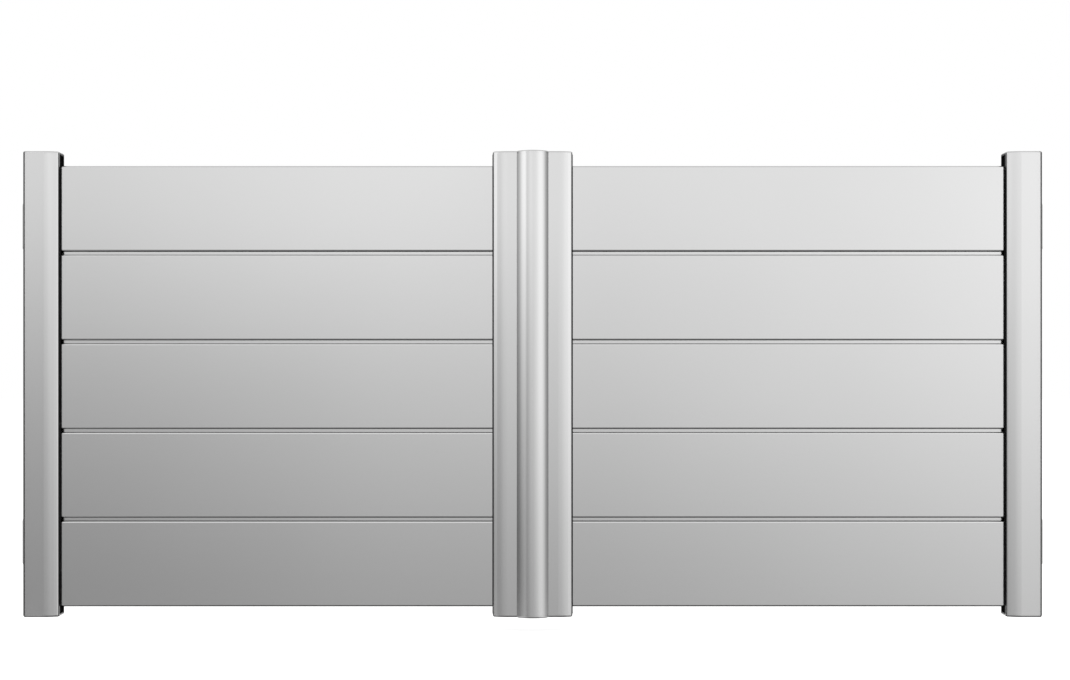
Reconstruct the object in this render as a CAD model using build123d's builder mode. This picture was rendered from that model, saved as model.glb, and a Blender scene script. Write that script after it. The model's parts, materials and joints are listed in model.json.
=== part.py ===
from build123d import *
from math import cos, radians, sin, sqrt, tan
import os

# A double-leaf aluminium swing gate, closed, with its front towards -Y.
# X runs along the gate, Y from the front to the drive behind it, Z up. All sizes are in millimetres.
# The origin is on the wall face of the left lower pillar bracket, at the middle of its plate.

os.makedirs("parts", exist_ok=True)

# The gate as a whole
gate_width = 3500  # between the outer edges of the two hinge stiles
gate_height = 1600  # over the end caps
leaf_gap = 30  # between the two meeting stiles
wall_gap = 30  # from a pillar's face to the hinge stile beside it

# Stiles: one hollow extrusion whose front bends gently back towards the boards
stile_width = 122
stile_depth = 60
stile_wall = 2.5
stile_corner = 8
stile_flat = 73  # flat part of the front, from the stile's free edge
stile_bend_radius = 140
stile_slope = 14  # degrees, of the front beside the boards
channel_depth = 25  # of the channel that takes the ends of the boards
channel_wall = 2.5

# Black seal in each stile's channel: a U with a lip over the channel's front edge
seal_wall = 1.2
seal_lip_width = 6
seal_lip_thickness = 1.5

# End caps of the stiles
cap_height = 10
cap_round = 6
cap_wall = 3
plug_length = 12
plug_clearance = 0.3

# Boards, hollow extrusions with a tongue above and a groove below
board_count = 5
board_thickness = 28
board_set_back = 23  # from the stile's front to the board's face
board_side_clearance = 0.3  # to the seal
board_insertion = 20  # of each end in its channel
board_round = 6
board_wall = 1.5
board_webs = 2
board_gap = 11  # open height between two boards
boards_from_bottom = 32
boards_from_top = 47
tongue_thickness = 8
tongue_set_back = 10  # from the board's face
tongue_insertion = 10
tongue_side_clearance = 0.3
tongue_end_clearance = 0.5

# Cover over the middle gap, fixed to the left leaf and open to the right one
cover_chord = 108
cover_proud = 22  # from the stile's front to the middle of the cover
cover_wall = 2.5
cover_lip_gap = 5  # between the free lip and the right meeting stile
cover_foot_width = 32
cover_cap_thickness = 10
cover_cap_round = 5
cover_plug_length = 8

# Hinges: a pin on each pillar bracket, an eye on each leaf
hinge_inset = 250  # from the gate's lower and upper ends to the middle of a hinge
pin_inset = 20  # from the hinge stile's free edge to the pin's axis
pin_set_back = 85  # from the stile's front to the pin's axis
pin_radius = 8
pin_clearance = 0.05
pin_stand_out = 5
pin_chamfer = 1.5
eye_height = 60
eye_radius = 15
eye_seat_gap = 0.5
eye_neck_width = 18
eye_plate_width = 80
eye_plate_height = 130
eye_plate_thickness = 6
eye_plate_corner = 6
eye_plate_lap = 10  # of the plate past the pin's axis, towards the pillar

# Pillar brackets
plate_width = 80
plate_height = 160
plate_thickness = 8
plate_corner = 8
plate_offset = 25  # from the pin's axis back to the middle of the plate
arm_thickness = 16
arm_half_width = 12
arm_eye_radius = 14
bolt_hole_radius = 5.5
bolt_spacing_across = 50
bolt_spacing_up = 130

# Places that follow from the sizes
pin_y = -plate_offset
front_y = pin_y - pin_set_back
back_y = front_y + stile_depth
bottom_z = -hinge_inset
top_z = bottom_z + gate_height
upper_hinge_z = top_z - hinge_inset
left_edge = wall_gap
right_edge = left_edge + gate_width
middle_x = (left_edge + right_edge) / 2
leaf_width = (gate_width - leaf_gap) / 2
board_front_y = front_y + board_set_back
board_middle_y = board_front_y + board_thickness / 2
channel_width = board_thickness + 2 * (board_side_clearance + seal_wall)
board_length = leaf_width - 2 * stile_width + 2 * board_insertion
board_field = gate_height - boards_from_bottom - boards_from_top
board_height = (board_field - (board_count - 1) * board_gap) / board_count
board_pitch = board_height + board_gap
lip_y = front_y - cover_lip_gap
cover_rise = cover_proud - cover_lip_gap
cover_radius = ((cover_chord / 2) ** 2 + cover_rise**2) / (2 * cover_rise)
cover_centre_y = front_y - cover_proud + cover_radius


def stile_outline(edge_x, toward):
    # toward is 1 where the boards lie towards +X from the free edge, and -1 where they lie towards -X
    bend = radians(stile_slope)
    bend_across = stile_bend_radius * sin(bend)
    bend_back = stile_bend_radius * (1 - cos(bend))
    slope_back = bend_back + (stile_width - stile_flat - bend_across) * tan(bend)
    inner_x = edge_x + toward * stile_width

    def spot(across, back):
        return (edge_x + toward * across, front_y + back)

    with BuildSketch() as outline:
        with BuildLine():
            Line(spot(0, stile_depth), spot(0, 0))
            Line(spot(0, 0), spot(stile_flat, 0))
            ThreePointArc(
                spot(stile_flat, 0),
                spot(
                    stile_flat + stile_bend_radius * sin(bend / 2),
                    stile_bend_radius * (1 - cos(bend / 2)),
                ),
                spot(stile_flat + bend_across, bend_back),
            )
            Line(spot(stile_flat + bend_across, bend_back), spot(stile_width, slope_back))
            Line(spot(stile_width, slope_back), spot(stile_width, stile_depth))
            Line(spot(stile_width, stile_depth), spot(0, stile_depth))
        make_face()
        corners = [
            vertex
            for vertex in outline.vertices()
            if min(abs(vertex.X - edge_x), abs(vertex.X - inner_x)) < stile_wall
        ]
        fillet(corners, stile_corner)
    return outline.sketch


def make_stile(name, edge_x, toward):
    block_depth = channel_depth + channel_wall
    length = gate_height - 2 * cap_height

    with BuildSketch() as hollow:
        add(stile_outline(edge_x, toward))
        offset(amount=-stile_wall)
        with Locations((edge_x + toward * (stile_width - block_depth / 2), board_middle_y)):
            Rectangle(block_depth, channel_width + 2 * channel_wall, mode=Mode.SUBTRACT)

    with BuildPart() as stile:
        with BuildSketch(Plane.XY.offset(bottom_z + cap_height)):
            add(stile_outline(edge_x, toward))
            add(hollow.sketch, mode=Mode.SUBTRACT)
            with Locations((edge_x + toward * (stile_width - channel_depth / 2), board_middle_y)):
                Rectangle(channel_depth, channel_width, mode=Mode.SUBTRACT)
        extrude(amount=length)

    stile.part.label = name
    export_step(stile.part, f"parts/{name}.step")


def make_channel_seal(name, edge_x, toward):
    mouth_x = edge_x + toward * stile_width
    slot_depth = channel_depth - seal_wall
    lip_from_y = board_middle_y - channel_width / 2 - seal_lip_width
    lip_length = seal_lip_width + seal_wall

    with BuildPart() as seal:
        with BuildSketch(Plane.XY.offset(bottom_z + cap_height)):
            with Locations((mouth_x - toward * channel_depth / 2, board_middle_y)):
                Rectangle(channel_depth, channel_width)
            with Locations((mouth_x - toward * slot_depth / 2, board_middle_y)):
                Rectangle(slot_depth, channel_width - 2 * seal_wall, mode=Mode.SUBTRACT)
            with Locations((mouth_x + toward * seal_lip_thickness / 2, lip_from_y + lip_length / 2)):
                Rectangle(seal_lip_thickness, lip_length)
        extrude(amount=gate_height - 2 * cap_height)

    seal.part.label = name
    export_step(seal.part, f"parts/{name}.step")


def make_stile_cap(name, edge_x, toward, seat_z, away):
    # away is 1 for a top cap and -1 for a bottom cap
    plug_from = stile_wall + plug_clearance
    plug_across = stile_flat - plug_from
    plug_back = stile_depth - 2 * plug_from
    plug_middle = (edge_x + toward * (plug_from + plug_across / 2), front_y + stile_depth / 2)

    with BuildPart() as cap:
        with BuildSketch(Plane.XY.offset(seat_z)):
            add(stile_outline(edge_x, toward))
        extrude(amount=away * cap_height)
        outer_face = cap.faces().sort_by(Axis.Z)[-1 if away > 0 else 0]
        fillet(outer_face.edges(), cap_round)
        with BuildSketch(Plane.XY.offset(seat_z)):
            with Locations(plug_middle):
                RectangleRounded(plug_across, plug_back, stile_corner)
        extrude(amount=-away * plug_length)
        with BuildSketch(Plane.XY.offset(seat_z - away * plug_length)):
            with Locations(plug_middle):
                Rectangle(plug_across - 2 * cap_wall, plug_back - 2 * cap_wall)
        extrude(amount=away * (plug_length + cap_height - cap_wall), mode=Mode.SUBTRACT)

    cap.part.label = name
    export_step(cap.part, f"parts/{name}.step")


def make_board(name, start_x, bottom, with_tongue):
    groove_width = tongue_thickness + 2 * tongue_side_clearance
    groove_depth = tongue_insertion + tongue_end_clearance
    tongue_y = board_front_y + tongue_set_back + tongue_thickness / 2
    middle_z = bottom + board_height / 2
    top = bottom + board_height

    with BuildPart() as board:
        with BuildSketch(Plane.YZ.offset(start_x)):
            with Locations((board_middle_y, middle_z)):
                RectangleRounded(board_thickness, board_height, board_round)
            offset(amount=-board_wall, mode=Mode.SUBTRACT)
            web_spacing = board_height / (board_webs + 1)
            with Locations((board_middle_y, middle_z)):
                with GridLocations(0, web_spacing, 1, board_webs):
                    Rectangle(board_thickness - board_wall, board_wall)
            with Locations((tongue_y, bottom + (groove_depth + board_wall) / 2)):
                Rectangle(groove_width + 2 * board_wall, groove_depth + board_wall)
            with Locations((tongue_y, bottom + groove_depth / 2)):
                Rectangle(groove_width, groove_depth, mode=Mode.SUBTRACT)
            if with_tongue:
                reach = board_gap + tongue_insertion
                with Locations((tongue_y, top - board_wall / 2 + reach / 2)):
                    Rectangle(tongue_thickness, board_wall + reach)
        extrude(amount=board_length)

    board.part.label = name
    export_step(board.part, f"parts/{name}.step")


def cover_segment(shrink):
    # the region between the cover's arc, moved inwards by shrink, and its chord
    radius = cover_radius - shrink
    half_chord = sqrt(radius**2 - (cover_centre_y - lip_y) ** 2)
    with BuildSketch() as segment:
        with BuildLine():
            ThreePointArc(
                (middle_x - half_chord, lip_y),
                (middle_x, cover_centre_y - radius),
                (middle_x + half_chord, lip_y),
            )
            Line((middle_x + half_chord, lip_y), (middle_x - half_chord, lip_y))
        make_face()
    return segment.sketch


def make_cover(name):
    inner_radius = cover_radius - cover_wall
    inner_half_chord = sqrt(inner_radius**2 - (cover_centre_y - lip_y) ** 2)
    leg_width = cover_chord / 2 - inner_half_chord
    foot_start = middle_x - cover_chord / 2

    with BuildPart() as cover:
        with BuildSketch(Plane.XY.offset(bottom_z + cover_cap_thickness)):
            add(cover_segment(0))
            add(cover_segment(cover_wall), mode=Mode.SUBTRACT)
            with Locations((foot_start + leg_width / 2, front_y - cover_lip_gap / 2)):
                Rectangle(leg_width, cover_lip_gap)
            with Locations((foot_start + cover_foot_width / 2, front_y - cover_wall / 2)):
                Rectangle(cover_foot_width, cover_wall)
        extrude(amount=gate_height - 2 * cover_cap_thickness)

    cover.part.label = name
    export_step(cover.part, f"parts/{name}.step")


def make_cover_cap(name, seat_z, away):
    with BuildPart() as cap:
        with BuildSketch(Plane.XY.offset(seat_z)):
            add(cover_segment(0))
        extrude(amount=away * cover_cap_thickness)
        outer_face = cap.faces().sort_by(Axis.Z)[-1 if away > 0 else 0]
        fillet(outer_face.edges().filter_by(GeomType.CIRCLE), cover_cap_round)
        with BuildSketch(Plane.XY.offset(seat_z)):
            add(cover_segment(cover_wall + plug_clearance))
        extrude(amount=-away * cover_plug_length)

    cap.part.label = name
    export_step(cap.part, f"parts/{name}.step")


def make_hinge_eye(name, pin_x, toward, middle_z):
    # a plate on the stile's back, with a neck and an eye that turns on the bracket's pin
    plate_x = pin_x + toward * (eye_plate_width / 2 - eye_plate_lap)
    neck_length = pin_y - back_y

    with BuildPart() as eye:
        with BuildSketch(Plane.XZ.offset(-back_y)):
            with Locations((plate_x, middle_z)):
                RectangleRounded(eye_plate_width, eye_plate_height, eye_plate_corner)
        extrude(amount=-eye_plate_thickness)
        with BuildSketch(Plane.XY.offset(middle_z - eye_height / 2)):
            with Locations((pin_x, pin_y)):
                Circle(eye_radius)
            with Locations((pin_x, pin_y - neck_length / 2)):
                Rectangle(eye_neck_width, neck_length)
        extrude(amount=eye_height)
        with BuildSketch(Plane.XY.offset(middle_z - eye_height / 2)):
            with Locations((pin_x, pin_y)):
                Circle(pin_radius + pin_clearance)
        extrude(amount=eye_height, mode=Mode.SUBTRACT)

    eye.part.label = name
    export_step(eye.part, f"parts/{name}.step")


def make_pillar_bracket(name, wall_x, toward, middle_z):
    # toward is the side of the pillar's face on which the gate hangs
    pin_x = wall_x + toward * (wall_gap + pin_inset)
    arm_top = middle_z - eye_height / 2 - eye_seat_gap
    arm_length = abs(pin_x - wall_x)
    pin_length = eye_seat_gap + eye_height + pin_stand_out

    with BuildPart() as bracket:
        with BuildSketch(Plane.XY.offset(arm_top)):
            with Locations((pin_x, pin_y)):
                Circle(pin_radius)
        extrude(amount=pin_length)
        chamfer(bracket.edges().sort_by(Axis.Z)[-1], pin_chamfer)
        with BuildSketch(Plane.XY.offset(arm_top)):
            with Locations(((wall_x + pin_x) / 2, pin_y)):
                Rectangle(arm_length, 2 * arm_half_width)
            with Locations((pin_x, pin_y)):
                Circle(arm_eye_radius)
        extrude(amount=-arm_thickness)
        with BuildSketch(Plane((wall_x, 0, middle_z), (0, 1, 0), (toward, 0, 0))):
            RectangleRounded(plate_width, plate_height, plate_corner)
            with GridLocations(bolt_spacing_across, bolt_spacing_up, 2, 2):
                Circle(bolt_hole_radius, mode=Mode.SUBTRACT)
        extrude(amount=plate_thickness)

    bracket.part.label = name
    export_step(bracket.part, f"parts/{name}.step")


# Leaves: each runs from its hinge edge at the pillar to its meeting edge at the middle gap
leaves = {
    "left": (left_edge, 0, 1),
    "right": (right_edge, 2 * wall_gap + gate_width, -1),
}

for hand, (hinge_edge, wall_x, toward) in leaves.items():
    meeting_edge = hinge_edge + toward * leaf_width
    stiles = {
        f"{hand}_hinge_stile": (hinge_edge, toward),
        f"{hand}_meeting_stile": (meeting_edge, -toward),
    }
    for stile_name, (edge_x, inward) in stiles.items():
        make_stile(stile_name, edge_x, inward)
        make_channel_seal(f"{stile_name}_channel_seal", edge_x, inward)
        make_stile_cap(f"{stile_name}_top_cap", edge_x, inward, top_z - cap_height, 1)
        make_stile_cap(f"{stile_name}_bottom_cap", edge_x, inward, bottom_z + cap_height, -1)

    board_ends = [
        hinge_edge + toward * (stile_width - board_insertion),
        meeting_edge - toward * (stile_width - board_insertion),
    ]
    for number in range(board_count):
        board_bottom = bottom_z + boards_from_bottom + number * board_pitch
        is_covered = number < board_count - 1
        make_board(f"{hand}_board_{number + 1}", min(board_ends), board_bottom, is_covered)

    for level, hinge_z in (("lower", 0), ("upper", upper_hinge_z)):
        make_hinge_eye(f"{hand}_{level}_hinge_eye", hinge_edge + toward * pin_inset, toward, hinge_z)
        make_pillar_bracket(f"{hand}_{level}_pillar_bracket", wall_x, toward, hinge_z)

# The cover over the middle gap
make_cover("centre_cover")
make_cover_cap("cover_top_cap", top_z - cover_cap_thickness, 1)
make_cover_cap("cover_bottom_cap", bottom_z + cover_cap_thickness, -1)
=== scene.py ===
import json
import math

import bpy
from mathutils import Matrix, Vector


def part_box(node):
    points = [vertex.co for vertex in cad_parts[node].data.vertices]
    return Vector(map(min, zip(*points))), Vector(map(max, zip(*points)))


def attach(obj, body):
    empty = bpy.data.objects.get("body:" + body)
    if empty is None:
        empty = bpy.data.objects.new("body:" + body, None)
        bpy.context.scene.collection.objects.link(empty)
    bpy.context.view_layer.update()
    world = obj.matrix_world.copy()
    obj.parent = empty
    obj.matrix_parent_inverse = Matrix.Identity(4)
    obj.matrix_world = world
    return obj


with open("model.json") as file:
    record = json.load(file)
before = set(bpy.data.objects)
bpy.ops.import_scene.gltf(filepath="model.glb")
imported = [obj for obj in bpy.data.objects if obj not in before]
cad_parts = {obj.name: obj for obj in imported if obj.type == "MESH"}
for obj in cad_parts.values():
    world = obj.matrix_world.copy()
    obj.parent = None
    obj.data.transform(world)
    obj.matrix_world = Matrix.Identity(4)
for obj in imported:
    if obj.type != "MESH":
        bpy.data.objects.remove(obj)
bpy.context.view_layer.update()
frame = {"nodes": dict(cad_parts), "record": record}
gateNodes = frame["nodes"]
print("frame loaded,", len(gateNodes), "pieces")

scene = bpy.context.scene
scene.view_settings.view_transform = "Standard"


# small helpers for node trees

def addNode(tree, kind, **values):
    node = tree.nodes.new(kind)
    for name, value in values.items():
        setattr(node, name, value)
    return node


def feed(tree, source, target):
    # source may be a socket or a plain value
    if isinstance(source, bpy.types.NodeSocket):
        tree.links.new(source, target)
    else:
        target.default_value = source


def mathNode(tree, operation, first, second=0.0, clamp=False):
    node = addNode(tree, "ShaderNodeMath", operation=operation, use_clamp=clamp)
    feed(tree, first, node.inputs[0])
    feed(tree, second, node.inputs[1])
    return node.outputs[0]


def mixTone(tree, factor, first, second):
    node = addNode(tree, "ShaderNodeMix", data_type="RGBA")
    feed(tree, factor, node.inputs["Factor"])
    feed(tree, first, node.inputs["A"])
    feed(tree, second, node.inputs["B"])
    return node.outputs["Result"]


def spread(tree, value, fromLow, fromHigh, toLow, toHigh):
    node = addNode(tree, "ShaderNodeMapRange")
    for socket, amount in zip(node.inputs, (value, fromLow, fromHigh, toLow, toHigh)):
        feed(tree, amount, socket)
    return node.outputs[0]


def rampOf(tree, value, stops):
    ramp = addNode(tree, "ShaderNodeValToRGB")
    while len(ramp.color_ramp.elements) < len(stops):
        ramp.color_ramp.elements.new(1.0)
    for element, (place, level) in zip(ramp.color_ramp.elements, stops):
        element.position = place
        element.color = (level, level, level, 1)
    feed(tree, value, ramp.inputs[0])
    return ramp.outputs[0]


def newGroup(name, inputs, outputs):
    group = bpy.data.node_groups.new(name, "ShaderNodeTree")
    for label, kind, value in inputs:
        socket = group.interface.new_socket(label, in_out="INPUT", socket_type=kind)
        if value is not None:
            socket.default_value = value
    for label, kind in outputs:
        group.interface.new_socket(label, in_out="OUTPUT", socket_type=kind)
    start = addNode(group, "NodeGroupInput")
    end = addNode(group, "NodeGroupOutput")
    return group, start.outputs, end.inputs


grainValues = {"linesDetail": 3.0, "linesRoughness": 0.62, "grainDetail": 2.0, "driftDetail": 2.5}


def buildDrawnGrain():
    # lines that the die leaves along an extrusion, the fine grain of the coat, and a slow drift in tone
    group, given, out = newGroup(
        "drawnGrain",
        [("Place", "NodeSocketVector", None), ("Run", "NodeSocketVector", (1, 1, 1)),
         ("Grain Scale", "NodeSocketFloat", 900.0), ("Drift Scale", "NodeSocketFloat", 1.4)],
        [("Lines", "NodeSocketFloat"), ("Grain", "NodeSocketFloat"), ("Drift", "NodeSocketFloat")])
    stretched = addNode(group, "ShaderNodeVectorMath", operation="MULTIPLY")
    feed(group, given["Place"], stretched.inputs[0])
    feed(group, given["Run"], stretched.inputs[1])
    lines = addNode(group, "ShaderNodeTexNoise")
    lines.inputs["Scale"].default_value = 1.0
    lines.inputs["Detail"].default_value = grainValues["linesDetail"]
    lines.inputs["Roughness"].default_value = grainValues["linesRoughness"]
    feed(group, stretched.outputs[0], lines.inputs["Vector"])
    grain = addNode(group, "ShaderNodeTexNoise")
    grain.inputs["Detail"].default_value = grainValues["grainDetail"]
    feed(group, given["Place"], grain.inputs["Vector"])
    feed(group, given["Grain Scale"], grain.inputs["Scale"])
    drift = addNode(group, "ShaderNodeTexNoise")
    drift.inputs["Detail"].default_value = grainValues["driftDetail"]
    feed(group, given["Place"], drift.inputs["Vector"])
    feed(group, given["Drift Scale"], drift.inputs["Scale"])
    feed(group, lines.outputs[0], out["Lines"])
    feed(group, grain.outputs[0], out["Grain"])
    feed(group, drift.outputs[0], out["Drift"])
    return group


wearValues = {"samples": 4, "facingFlat": 0.985, "facingWorn": 0.80, "breakDetail": 3.0, "breakLow": 0.42,
              "breakHigh": 0.62, "leastLeft": 0.25}


def buildEdgeWear():
    # a mask that is 1 along worn edges: the rounded-over normal against the true one, broken up by noise
    group, given, out = newGroup(
        "edgeWear",
        [("Place", "NodeSocketVector", None), ("Width", "NodeSocketFloat", 0.0015),
         ("Break Scale", "NodeSocketFloat", 60.0)],
        [("Mask", "NodeSocketFloat")])
    rounded = addNode(group, "ShaderNodeBevel", samples=wearValues["samples"])
    feed(group, given["Width"], rounded.inputs["Radius"])
    true = addNode(group, "ShaderNodeNewGeometry")
    facing = addNode(group, "ShaderNodeVectorMath", operation="DOT_PRODUCT")
    feed(group, rounded.outputs[0], facing.inputs[0])
    feed(group, true.outputs["Normal"], facing.inputs[1])
    edge = spread(group, facing.outputs["Value"], wearValues["facingFlat"], wearValues["facingWorn"],
                  0.0, 1.0)
    breakUp = addNode(group, "ShaderNodeTexNoise")
    breakUp.inputs["Detail"].default_value = wearValues["breakDetail"]
    feed(group, given["Place"], breakUp.inputs["Vector"])
    feed(group, given["Break Scale"], breakUp.inputs["Scale"])
    broken = spread(group, breakUp.outputs[0], wearValues["breakLow"], wearValues["breakHigh"],
                    wearValues["leastLeft"], 1.0)
    feed(group, mathNode(group, "MULTIPLY", edge, broken, clamp=True), out["Mask"])
    return group


# the heights are those of the gate's foot and of where the splash is full
dustValues = {"patchDetail": 5.0, "patchLow": 0.38, "patchHigh": 0.70, "facingUp": 0.55, "gateFoot": -0.25,
              "splashFull": -0.26, "splashMost": 0.5}


def buildSettledDust():
    # thin dust on what faces up, and a splash of it near the ground
    group, given, out = newGroup(
        "settledDust",
        [("Place", "NodeSocketVector", None), ("Foot Height", "NodeSocketFloat", 0.12),
         ("Patch Scale", "NodeSocketFloat", 22.0)],
        [("Mask", "NodeSocketFloat")])
    true = addNode(group, "ShaderNodeNewGeometry")
    upward = addNode(group, "ShaderNodeSeparateXYZ")
    feed(group, true.outputs["Normal"], upward.inputs[0])
    place = addNode(group, "ShaderNodeSeparateXYZ")
    feed(group, given["Place"], place.inputs[0])
    patches = addNode(group, "ShaderNodeTexNoise")
    patches.inputs["Detail"].default_value = dustValues["patchDetail"]
    feed(group, given["Place"], patches.inputs["Vector"])
    feed(group, given["Patch Scale"], patches.inputs["Scale"])
    lying = spread(group, upward.outputs["Z"], dustValues["facingUp"], 1.0, 0.0, 1.0)
    top = mathNode(group, "ADD", given["Foot Height"], dustValues["gateFoot"])
    splash = spread(group, place.outputs["Z"], top, dustValues["splashFull"], 0.0, dustValues["splashMost"])
    both = mathNode(group, "MAXIMUM", lying, splash)
    patchy = spread(group, patches.outputs[0], dustValues["patchLow"], dustValues["patchHigh"], 0.0, 1.0)
    feed(group, mathNode(group, "MULTIPLY", both, patchy, clamp=True), out["Mask"])
    return group


drawnGrain = buildDrawnGrain()
edgeWear = buildEdgeWear()
settledDust = buildSettledDust()
print("shader groups built")


def useGroup(tree, group, place, **values):
    node = addNode(tree, "ShaderNodeGroup", node_tree=group)
    feed(tree, place, node.inputs["Place"])
    for name, value in values.items():
        node.inputs[name.replace("_", " ")].default_value = value
    return node.outputs


def startMaterial(name):
    material = bpy.data.materials.new(name)
    material.use_nodes = True
    tree = material.node_tree
    shader = tree.nodes["Principled BSDF"]
    place = addNode(tree, "ShaderNodeTexCoord").outputs["Object"]
    return material, tree, shader, place


# what all silver coats share: the noise's useful range, and what grain, wear and dust do to the surface
coatValues = {"noiseLow": 0.3, "noiseHigh": 0.7, "linesLow": 0.25, "linesHigh": 0.75, "roughSpread": 0.015,
              "wearSmooths": 0.12, "dustRoughens": 0.35, "dustLeavesMetal": 0.3, "bumpDistance": 0.001}


def makeSilver(name, look):
    # satin silver coat on an aluminium extrusion or a cast cap, and the hinges' satin steel
    material, tree, shader, place = startMaterial(name)
    grain = useGroup(tree, drawnGrain, place, Run=look["run"], Grain_Scale=look["grainScale"],
                     Drift_Scale=look["driftScale"])
    wear = useGroup(tree, edgeWear, place, Width=look["wearWidth"], Break_Scale=look["wearBreak"])
    dust = useGroup(tree, settledDust, place, Foot_Height=look["dustFoot"], Patch_Scale=look["dustPatches"])

    noiseLow, noiseHigh = coatValues["noiseLow"], coatValues["noiseHigh"]
    low, high = look["tone"] - look["toneSpread"], look["tone"] + look["toneSpread"]
    tone = spread(tree, grain["Drift"], noiseLow, noiseHigh, low, high)
    lineShare = spread(tree, grain["Lines"], noiseLow, noiseHigh, 1 - look["lineTone"], 1.0)
    lined = mathNode(tree, "MULTIPLY", tone, lineShare)
    coat = addNode(tree, "ShaderNodeCombineColor")
    for channel, tint in zip(coat.inputs, look["tint"]):
        feed(tree, mathNode(tree, "MULTIPLY", lined, tint), channel)
    worn = mixTone(tree, mathNode(tree, "MULTIPLY", wear["Mask"], look["wear"]), coat.outputs[0],
                   (*look["wornTone"], 1))
    dusty = mathNode(tree, "MULTIPLY", dust["Mask"], look["dust"])
    feed(tree, mixTone(tree, dusty, worn, (*look["dustTone"], 1)), shader.inputs["Base Color"])

    fromLines = spread(tree, grain["Lines"], coatValues["linesLow"], coatValues["linesHigh"],
                       -look["lineRough"], look["lineRough"])
    fromGrain = spread(tree, grain["Grain"], noiseLow, noiseHigh, look["rough"] - coatValues["roughSpread"],
                       look["rough"] + coatValues["roughSpread"])
    rough = mathNode(tree, "ADD", fromLines, fromGrain)
    smoothed = mathNode(tree, "MULTIPLY", wear["Mask"], look["wear"] * coatValues["wearSmooths"])
    rough = mathNode(tree, "SUBTRACT", rough, smoothed)
    roughened = mathNode(tree, "MULTIPLY", dusty, coatValues["dustRoughens"])
    feed(tree, mathNode(tree, "ADD", rough, roughened, clamp=True), shader.inputs["Roughness"])
    feed(tree, spread(tree, dusty, 0.0, 1.0, 1.0, coatValues["dustLeavesMetal"]), shader.inputs["Metallic"])

    height = mathNode(tree, "ADD", mathNode(tree, "MULTIPLY", grain["Lines"], look["lineDepth"]),
                      mathNode(tree, "MULTIPLY", grain["Grain"], look["grainDepth"]))
    bump = addNode(tree, "ShaderNodeBump")
    bump.inputs["Strength"].default_value = look["bump"]
    bump.inputs["Distance"].default_value = coatValues["bumpDistance"]
    feed(tree, height, bump.inputs["Height"])
    feed(tree, bump.outputs[0], shader.inputs["Normal"])
    return material


def makeRubberAndShade(name, look):
    # matt black seal with a pale bloom that drifts over it; the black is partly the seal's own colour and
    # partly painted shade, standing in for the dark bands where the boards enter the stiles
    material, tree, shader, place = startMaterial(name)
    grain = useGroup(tree, drawnGrain, place, Run=look["run"], Grain_Scale=look["grainScale"],
                     Drift_Scale=look["driftScale"])
    wear = useGroup(tree, edgeWear, place, Width=look["wearWidth"], Break_Scale=look["wearBreak"])
    dust = useGroup(tree, settledDust, place, Foot_Height=look["dustFoot"], Patch_Scale=look["dustPatches"])
    bloomed = spread(tree, grain["Drift"], look["bloomLow"], look["bloomHigh"], 0.0, 1.0)
    tone = mixTone(tree, bloomed, (*look["dark"], 1), (*look["bloom"], 1))
    worn = mathNode(tree, "MULTIPLY", wear["Mask"], look["wear"])
    tone = mixTone(tree, worn, tone, (*look["worn"], 1))
    dusty = mathNode(tree, "MULTIPLY", dust["Mask"], look["dust"])
    tone = mixTone(tree, dusty, tone, (*look["dustTone"], 1))
    feed(tree, tone, shader.inputs["Base Color"])
    rough = spread(tree, grain["Grain"], coatValues["noiseLow"], coatValues["noiseHigh"],
                   look["rough"] - look["roughSpread"], look["rough"] + look["roughSpread"])
    feed(tree, rough, shader.inputs["Roughness"])
    shader.inputs["Specular IOR Level"].default_value = look["gloss"]
    bump = addNode(tree, "ShaderNodeBump")
    bump.inputs["Strength"].default_value = look["bump"]
    bump.inputs["Distance"].default_value = look["bumpDistance"]
    feed(tree, mathNode(tree, "ADD", grain["Grain"], grain["Lines"]), bump.inputs["Height"])
    feed(tree, bump.outputs[0], shader.inputs["Normal"])
    return material


boardLook = {"run": (0.5, 420.0, 420.0), "grainScale": 1100.0, "driftScale": 1.3, "tone": 0.735,
             "toneSpread": 0.008, "lineTone": 0.008, "tint": (1.0, 1.0, 1.0), "rough": 0.18,
             "lineRough": 0.004, "wear": 0.25, "wearWidth": 0.0007, "wearBreak": 70.0,
             "wornTone": (0.86, 0.86, 0.86),
             "dust": 0.10, "dustTone": (0.50, 0.49, 0.47), "dustFoot": 0.10, "dustPatches": 22.0,
             "lineDepth": 0.006, "grainDepth": 0.02, "bump": 0.25}
stileLook = {**boardLook, "run": (420.0, 420.0, 0.5), "driftScale": 1.6}
coverLook = {**stileLook, "rough": 0.17, "lineTone": 0.006, "wear": 0.2}
capLook = {**boardLook, "run": (55.0, 55.0, 55.0), "grainScale": 1500.0, "driftScale": 9.0,
           "tone": 0.725, "rough": 0.19, "lineDepth": 0.008, "grainDepth": 0.03, "wear": 0.3}
steelLook = {**boardLook, "run": (260.0, 260.0, 3.0), "grainScale": 1400.0, "driftScale": 14.0,
             "tone": 0.58, "toneSpread": 0.02, "lineTone": 0.08, "tint": (1.0, 0.995, 0.985), "rough": 0.33,
             "lineRough": 0.06, "wear": 0.8, "wearWidth": 0.0010, "wornTone": (0.80, 0.80, 0.79),
             "dust": 0.25, "lineDepth": 0.12, "grainDepth": 0.04, "bump": 0.5}
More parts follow.
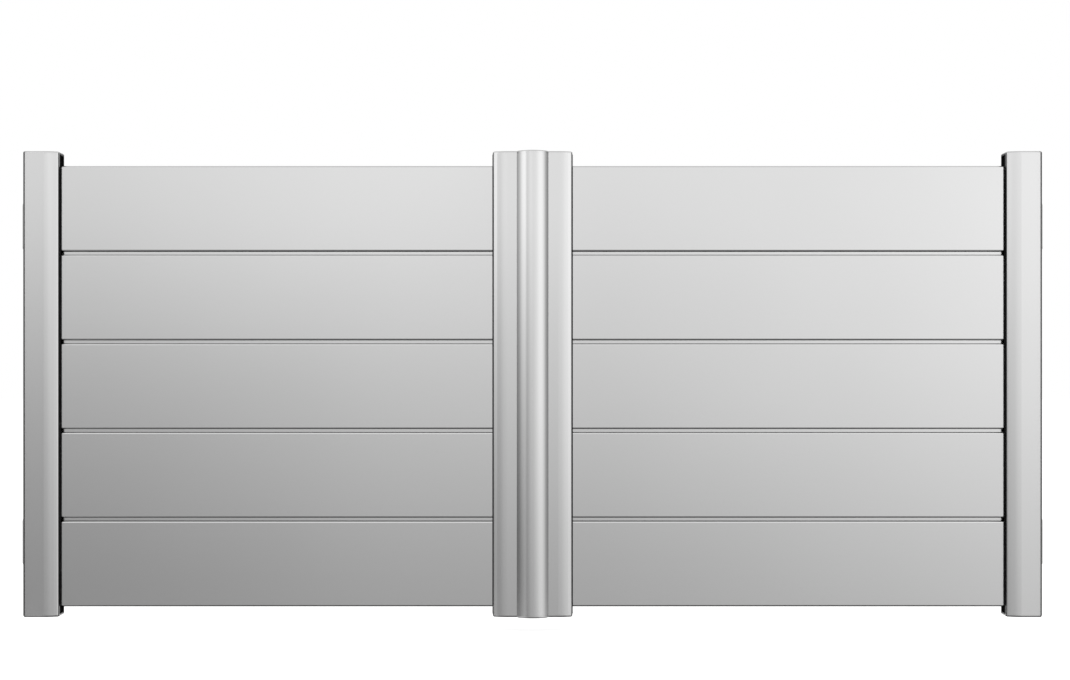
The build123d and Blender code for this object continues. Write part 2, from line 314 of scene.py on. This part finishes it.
# the seal's near-black is also painted shade: the lips beside the stiles stand in for the dark bands of
# shade at the board ends
rubberAndShadeLook = {"run": (60.0, 60.0, 1.0), "grainScale": 700.0, "driftScale": 3.0,
              "dark": (0.006, 0.006, 0.006), "bloom": (0.014, 0.014, 0.0145), "bloomLow": 0.35,
              "bloomHigh": 0.7, "worn": (0.03, 0.03, 0.03), "wear": 0.5, "wearWidth": 0.0006,
              "wearBreak": 90.0, "rough": 0.66, "roughSpread": 0.06, "gloss": 0.12, "dust": 0.08,
              "dustTone": (0.30, 0.29, 0.27), "dustFoot": 0.10, "dustPatches": 30.0, "bump": 0.4,
              "bumpDistance": 0.0006}

finishes = {
    "board_silver": makeSilver("boardSilver", boardLook),
    "stile_silver": makeSilver("stileSilver", stileLook),
    "cover_silver": makeSilver("coverSilver", coverLook),
    "cap_silver": makeSilver("capSilver", capLook),
    "hinge_steel": makeSilver("hingeSteel", steelLook),
    "seal_rubber": makeRubberAndShade("sealRubberAndShade", rubberAndShadeLook),
}

slotOfNode = {part["node"]: part["material_slot"] for part in frame["record"]["subparts"]}
for name, piece in gateNodes.items():
    for place in piece.material_slots:
        place.material = finishes[slotOfNode[name]]
print("finishes assigned")


def treeSocket(tree, label, kind, value=None, into="INPUT"):
    socket = tree.interface.new_socket(label, in_out=into, socket_type=kind)
    if value is not None:
        socket.default_value = value


def shiftedUp(tree, geometry, height):
    lift = addNode(tree, "ShaderNodeCombineXYZ")
    feed(tree, height, lift.inputs["Z"])
    moved = addNode(tree, "GeometryNodeTransform")
    feed(tree, geometry, moved.inputs["Geometry"])
    feed(tree, lift.outputs[0], moved.inputs["Translation"])
    return moved.outputs[0]


def drum(tree, sides, radius, height):
    node = addNode(tree, "GeometryNodeMeshCylinder")
    feed(tree, sides, node.inputs["Vertices"])
    feed(tree, radius, node.inputs["Radius"])
    feed(tree, height, node.inputs["Depth"])
    return node.outputs["Mesh"]


fastenerValues = {"ballSegments": 32, "ballRings": 24, "socketSides": 6, "washerSides": 28, "mostTurn": 60}


def buildFastenerTree():
    # one head on its washer at every point of the given mesh, facing the back of the gate
    tree = bpy.data.node_groups.new("fastenerRow", "GeometryNodeTree")
    treeSocket(tree, "Geometry", "NodeSocketGeometry")
    for label, value in (("Head Radius", 0.0065), ("Head Height", 0.005), ("Crown Radius", 0.012),
                         ("Socket Radius", 0.002), ("Socket Depth", 0.0015), ("Washer Radius", 0.008),
                         ("Washer Thickness", 0.0015)):
        treeSocket(tree, label, "NodeSocketFloat", value)
    treeSocket(tree, "Head Sides", "NodeSocketInt", 6)
    treeSocket(tree, "Seed", "NodeSocketInt", 4)
    treeSocket(tree, "Material", "NodeSocketMaterial")
    treeSocket(tree, "Geometry", "NodeSocketGeometry", into="OUTPUT")
    given = addNode(tree, "NodeGroupInput").outputs
    out = addNode(tree, "NodeGroupOutput").inputs

    headTop = mathNode(tree, "ADD", given["Washer Thickness"], given["Head Height"])
    halfHead = mathNode(tree, "MULTIPLY", given["Head Height"], 0.5)
    headMiddle = mathNode(tree, "ADD", given["Washer Thickness"], halfHead)
    prism = drum(tree, given["Head Sides"], given["Head Radius"], given["Head Height"])
    prism = shiftedUp(tree, prism, headMiddle)

    # the crown is part of a ball whose top is the head's top
    ball = addNode(tree, "GeometryNodeMeshUVSphere")
    ball.inputs["Segments"].default_value = fastenerValues["ballSegments"]
    ball.inputs["Rings"].default_value = fastenerValues["ballRings"]
    feed(tree, given["Crown Radius"], ball.inputs["Radius"])
    crownMiddle = mathNode(tree, "SUBTRACT", headTop, given["Crown Radius"])
    crown = shiftedUp(tree, ball.outputs["Mesh"], crownMiddle)
    head = addNode(tree, "GeometryNodeMeshBoolean", operation="INTERSECT")
    feed(tree, prism, head.inputs["Mesh 2"])
    feed(tree, crown, head.inputs["Mesh 2"])

    socketDeep = mathNode(tree, "MULTIPLY", given["Socket Depth"], 2.0)
    recess = drum(tree, fastenerValues["socketSides"], given["Socket Radius"], socketDeep)
    recess = shiftedUp(tree, recess, headTop)
    cut = addNode(tree, "GeometryNodeMeshBoolean", operation="DIFFERENCE")
    feed(tree, head.outputs["Mesh"], cut.inputs["Mesh 1"])
    feed(tree, recess, cut.inputs["Mesh 2"])

    washer = drum(tree, fastenerValues["washerSides"], given["Washer Radius"], given["Washer Thickness"])
    washer = shiftedUp(tree, washer, mathNode(tree, "MULTIPLY", given["Washer Thickness"], 0.5))
    both = addNode(tree, "GeometryNodeJoinGeometry")
    feed(tree, cut.outputs["Mesh"], both.inputs[0])
    feed(tree, washer, both.inputs[0])

    # each is turned a little differently about its own axis, as fitters leave them
    turn = addNode(tree, "FunctionNodeRandomValue", data_type="FLOAT")
    turnRange = [socket for socket in turn.inputs if socket.type == "VALUE"]
    feed(tree, 0.0, turnRange[0])
    feed(tree, math.radians(fastenerValues["mostTurn"]), turnRange[1])
    feed(tree, given["Seed"], turn.inputs["Seed"])
    spin = addNode(tree, "ShaderNodeCombineXYZ")
    feed(tree, [socket for socket in turn.outputs if socket.type == "VALUE"][0], spin.inputs["Z"])
    instances = addNode(tree, "GeometryNodeInstanceOnPoints")
    feed(tree, given["Geometry"], instances.inputs["Points"])
    feed(tree, both.outputs[0], instances.inputs["Instance"])
    toBack = addNode(tree, "FunctionNodeRotateRotation", rotation_space="LOCAL")
    toBack.inputs["Rotation"].default_value = (math.radians(-90), 0, 0)
    feed(tree, spin.outputs[0], toBack.inputs["Rotate By"])
    feed(tree, toBack.outputs[0], instances.inputs["Rotation"])

    real = addNode(tree, "GeometryNodeRealizeInstances")
    feed(tree, instances.outputs[0], real.inputs[0])
    painted = addNode(tree, "GeometryNodeSetMaterial")
    feed(tree, real.outputs[0], painted.inputs["Geometry"])
    feed(tree, given["Material"], painted.inputs["Material"])
    feed(tree, painted.outputs[0], out["Geometry"])
    return tree


fastenerTree = buildFastenerTree()


def makeFasteners(name, body, points, sizes, material):
    seat = bpy.data.meshes.new(name + "Seat")
    seat.from_pydata(points, [], [])
    carrier = bpy.data.objects.new(name + "Carrier", seat)
    scene.collection.objects.link(carrier)
    modifier = carrier.modifiers.new("fasteners", "NODES")
    modifier.node_group = fastenerTree
    chosen = {**sizes, "Material": material}
    for item in fastenerTree.interface.items_tree:
        if item.in_out == "INPUT" and item.name in chosen:
            modifier[item.identifier] = chosen[item.name]
    result = carrier.evaluated_get(bpy.context.evaluated_depsgraph_get())
    made = bpy.data.meshes.new_from_object(result)
    bpy.data.objects.remove(carrier)
    piece = bpy.data.objects.new(name, made)
    scene.collection.objects.link(piece)
    made.name = name
    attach(piece, body)
    return piece


# hinge bolts: four through each eye plate into the stile
hingeBolts = {"inset": 0.012, "across": 0.032, "half": 0.048, "plate": 0.006,
              "sizes": {"Head Radius": 0.0075, "Head Height": 0.0048, "Crown Radius": 0.0115,
                        "Socket Radius": 0.0001, "Socket Depth": 0.0001, "Washer Radius": 0.0085,
                        "Washer Thickness": 0.0014, "Head Sides": 6, "Seed": 7}}
# board screws: two through the back of each stile into every board's end
boardScrews = {"boards": 5, "fromEnd": 0.006, "apart": 0.19,
               "sizes": {"Head Radius": 0.0046, "Head Height": 0.0026, "Crown Radius": 0.0060,
                         "Socket Radius": 0.0017, "Socket Depth": 0.0012, "Washer Radius": 0.0052,
                         "Washer Thickness": 0.0004, "Head Sides": 26, "Seed": 3}}


def hingeBoltPoints(hand):
    points = []
    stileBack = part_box(f"{hand}_hinge_stile")[1].y
    for level in ("lower", "upper"):
        low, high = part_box(f"{hand}_{level}_hinge_eye")
        middle = (low.z + high.z) / 2
        # away from the pin, so that the heads pass the bracket's arm as the leaf swings
        far = (high.x - hingeBolts["inset"]) if hand == "left" else (low.x + hingeBolts["inset"])
        near = far - hingeBolts["across"] if hand == "left" else far + hingeBolts["across"]
        for x in (near, far):
            for side in (-1, 1):
                points.append((x, stileBack + hingeBolts["plate"], middle + side * hingeBolts["half"]))
    return points


def boardScrewPoints(hand):
    points = []
    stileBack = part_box(f"{hand}_hinge_stile")[1].y
    for number in range(1, boardScrews["boards"] + 1):
        low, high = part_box(f"{hand}_board_{number}")
        for x in (low.x + boardScrews["fromEnd"], high.x - boardScrews["fromEnd"]):
            for side in (-0.5, 0.5):
                points.append((x, stileBack, (low.z + high.z) / 2 + side * boardScrews["apart"]))
    return points


for hand in ("left", "right"):
    makeFasteners(f"{hand}HingeBolts", f"{hand}_leaf", hingeBoltPoints(hand), hingeBolts["sizes"],
                  finishes["hinge_steel"])
    makeFasteners(f"{hand}BoardScrews", f"{hand}_leaf", boardScrewPoints(hand), boardScrews["sizes"],
                  finishes["hinge_steel"])
print("fasteners made")


# the studio: a white floor and backdrop, and round them the soft bright and dark walls that metal shows
studio = {"floorLevel": -0.300, "floorHalf": 60.0, "floorGlow": 0.80, "floorTone": 0.55, "fill": 0.55,
          "twice": 0.02, "lowerAt": -10.0, "higherAt": 9.0}
# how bright the walls are level with the eye, by the angle from straight in front, positive to the right
wallsAhead = [(-72, .12), (-60, .30), (-45, .65), (-31, .72), (-24, .45), (-18, .56), (-7, .72), (3, .74),
              (20, .97), (29, 1.10), (41, 1.10), (50, .85), (61, .30), (72, .12)]
# the same behind the gate, on the left only: the right mirrors it
wallsBehind = [(-180, .74), (-172, .66), (-166, .18), (-158, .06), (-151, .18), (-144, .48), (-124, .46),
               (-112, .20), (-84, .16)]
# what that is multiplied by at lowerAt and at higherAt, in degrees of elevation: the walls get brighter
# upwards, more on the left than on the right
shareLower = [(-180, 1), (-96, 1), (-60, .34), (-45, .34), (-22, .60), (10, .65), (45, .70), (96, 1),
              (180, 1)]
shareHigher = [(-180, 1), (-96, 1), (-60, 1.9), (-28, 1.9), (-15, 1.66), (5, 1.30), (15, 1.14),
               (180, 1.10)]
# what both are multiplied by, from straight down to straight up
wallsUp = [(-90, 0), (-40, 0), (-22, .05), (-16, .55), (-12.5, .95), (-10, 1), (12, 1), (22, .95),
           (35, .80), (60, .65), (90, .6)]
# the ground, by elevation, then its share by how far to a side and how far behind: darker in a strip
# straight in front of the gate, full to both sides and behind
groundUp = [(-90, .50), (-50, .70), (-26, .80), (-17, .62), (-11, 0), (90, 0)]
groundAcross = [(0, .28), (.36, .28), (.50, 1), (1, 1)]
groundBehind = [(-1, 0), (.10, 0), (.30, 1), (1, 1)]
# the ceiling, the same all round
ceilingUp = [(-90, 0), (17, 0), (32, .76), (90, .70)]


def seenDirectly(tree):
    # 1 for what the camera sees straight or through glass
    path = addNode(tree, "ShaderNodeLightPath").outputs
    return mathNode(tree, "MAXIMUM", path["Is Camera Ray"], path["Is Transmission Ray"])


def rampAlong(tree, value, stops):
    # a ramp over the stops' own units; levels above 1 are kept by scaling
    low, high, most = stops[0][0], stops[-1][0], max(level for _, level in stops)
    scaled = [((place - low) / (high - low), level / most) for place, level in stops]
    return mathNode(tree, "MULTIPLY", rampOf(tree, spread(tree, value, low, high, 0.0, 1.0), scaled), most)


def inDegrees(tree, operation, *values):
    return mathNode(tree, "MULTIPLY", mathNode(tree, operation, *values), 180 / math.pi)


def wallsTone(tree):
    # the direction looked in, as an angle round the gate and an elevation
    direction = addNode(tree, "ShaderNodeSeparateXYZ")
    feed(tree, addNode(tree, "ShaderNodeTexCoord").outputs["Generated"], direction.inputs[0])
    x, y, z = direction.outputs
    around = inDegrees(tree, "ARCTAN2", x, mathNode(tree, "MULTIPLY", y, -1.0))
    up = inDegrees(tree, "ARCSINE", z)
    behind = [(-angle, level) for angle, level in reversed(wallsBehind)]
    tone = rampAlong(tree, around, wallsBehind + wallsAhead + behind)
    fromBelow = spread(tree, up, studio["lowerAt"], 0.0, 0.0, 1.0)
    share = mixTone(tree, fromBelow, rampAlong(tree, around, shareLower), (1, 1, 1, 1))
    fromLevel = spread(tree, up, 0.0, studio["higherAt"], 0.0, 1.0)
    share = mixTone(tree, fromLevel, share, rampAlong(tree, around, shareHigher))
    tone = mathNode(tree, "MULTIPLY", tone, share)
    walls = mathNode(tree, "MULTIPLY", tone, rampAlong(tree, up, wallsUp))
    reach = mathNode(tree, "MAXIMUM", rampAlong(tree, mathNode(tree, "ABSOLUTE", x), groundAcross),
                     rampAlong(tree, y, groundBehind))
    ground = mathNode(tree, "MULTIPLY", reach, rampAlong(tree, up, groundUp))
    return mathNode(tree, "MAXIMUM", mathNode(tree, "ADD", walls, ground), rampAlong(tree, up, ceilingUp))


def buildWorld():
    # white where it is seen straight, the walls where metal shows it, and an even fill for the rest
    world = bpy.data.worlds.new("studioWorld")
    scene.world = world
    world.use_nodes = True
    world.cycles.sampling_method = "NONE"
    tree = world.node_tree
    background = tree.nodes["Background"]
    background.inputs["Color"].default_value = (1, 1, 1, 1)
    path = addNode(tree, "ShaderNodeLightPath").outputs
    # a second reflection, as in grooves and corners, shows less of the walls
    once = spread(tree, path["Glossy Depth"], 1.0, 2.0, 1.0, studio["twice"])
    strength = mixTone(tree, seenDirectly(tree), (*[studio["fill"]] * 3, 1), (1, 1, 1, 1))
    inMetal = mathNode(tree, "MULTIPLY", wallsTone(tree), once)
    feed(tree, mixTone(tree, path["Is Glossy Ray"], strength, inMetal), background.inputs["Strength"])


def plainSheet(name, corners):
    mesh = bpy.data.meshes.new(name)
    mesh.from_pydata(corners, [], [tuple(range(len(corners)))])
    sheet = bpy.data.objects.new(name, mesh)
    scene.collection.objects.link(sheet)
    return sheet


def buildFloor():
    size, level = studio["floorHalf"], studio["floorLevel"]
    floor = plainSheet("studioFloor", [(-size, -size, level), (size, -size, level), (size, size, level),
                                       (-size, size, level)])
    floor.visible_glossy = False
    material = bpy.data.materials.new("floorWhite")
    material.use_nodes = True
    tree = material.node_tree
    tree.nodes.remove(tree.nodes["Principled BSDF"])
    glow = addNode(tree, "ShaderNodeEmission")
    feed(tree, mathNode(tree, "MULTIPLY", seenDirectly(tree), studio["floorGlow"]), glow.inputs["Strength"])
    matt = addNode(tree, "ShaderNodeBsdfDiffuse")
    matt.inputs["Color"].default_value = (*[studio["floorTone"]] * 3, 1)
    both = addNode(tree, "ShaderNodeAddShader")
    feed(tree, glow.outputs[0], both.inputs[0])
    feed(tree, matt.outputs[0], both.inputs[1])
    feed(tree, both.outputs[0], tree.nodes["Material Output"].inputs["Surface"])
    floor.data.materials.append(material)


# dark flags, seen only in metal: one upright close beside each outer corner and one lying under the gate,
# which give the rounded corners their dark outlines
flags = {"near": (0.0215, -0.140), "far": (0.010, -0.120), "low": -0.275, "high": 1.40,
         "gateWidth": 3.56, "front": -0.130, "back": -0.030}


def buildFlags():
    black = bpy.data.materials.new("flagBlack")
    black.use_nodes = True
    tree = black.node_tree
    tree.nodes.remove(tree.nodes["Principled BSDF"])
    dark = addNode(tree, "ShaderNodeEmission")
    dark.inputs["Strength"].default_value = 0.0
    feed(tree, dark.outputs[0], tree.nodes["Material Output"].inputs["Surface"])
    low, high, width = flags["low"], flags["high"], flags["gateWidth"]
    (nearX, nearY), (farX, farY) = flags["near"], flags["far"]
    sheets = [plainSheet("leftFlag", [(nearX, nearY, low), (farX, farY, low),
                                      (farX, farY, high), (nearX, nearY, high)]),
              plainSheet("rightFlag", [(width - nearX, nearY, low), (width - farX, farY, low),
                                       (width - farX, farY, high), (width - nearX, nearY, high)]),
              plainSheet("lyingFlag", [(0, flags["front"], low), (width, flags["front"], low),
                                       (width, flags["back"], low), (0, flags["back"], low)])]
    for sheet in sheets:
        sheet.data.materials.append(black)
        sheet.visible_camera = sheet.visible_shadow = False
        sheet.visible_diffuse = sheet.visible_transmission = False


# a soft light above the gate, which metal doesn't show
softbox = {"place": (1.78, -1.2, 4.6), "size": (6.0, 4.0), "power": 200.0}


def buildSoftbox():
    light = bpy.data.lights.new("ceilingSoftbox", "AREA")
    light.shape = "RECTANGLE"
    light.size, light.size_y = softbox["size"]
    light.energy = softbox["power"]
    lamp = bpy.data.objects.new("ceilingSoftbox", light)
    lamp.location = softbox["place"]
    lamp.visible_glossy = False
    scene.collection.objects.link(lamp)


buildWorld()
buildFloor()
buildFlags()
buildSoftbox()
print("studio built")


cameraSetup = {"place": (1.780, -4.110, 0.551), "lens": 39.24, "shiftX": 0.00224, "shiftY": 0.0409,
               "clipEnd": 200.0}


def buildCamera():
    data = bpy.data.cameras.new("gateCamera")
    data.lens = cameraSetup["lens"]
    data.shift_x = cameraSetup["shiftX"]
    data.shift_y = cameraSetup["shiftY"]
    data.clip_end = cameraSetup["clipEnd"]
    camera = bpy.data.objects.new("gateCamera", data)
    camera.location = cameraSetup["place"]
    camera.rotation_euler = (math.radians(90), 0, 0)
    scene.collection.objects.link(camera)
    scene.camera = camera


buildCamera()
print("camera placed")
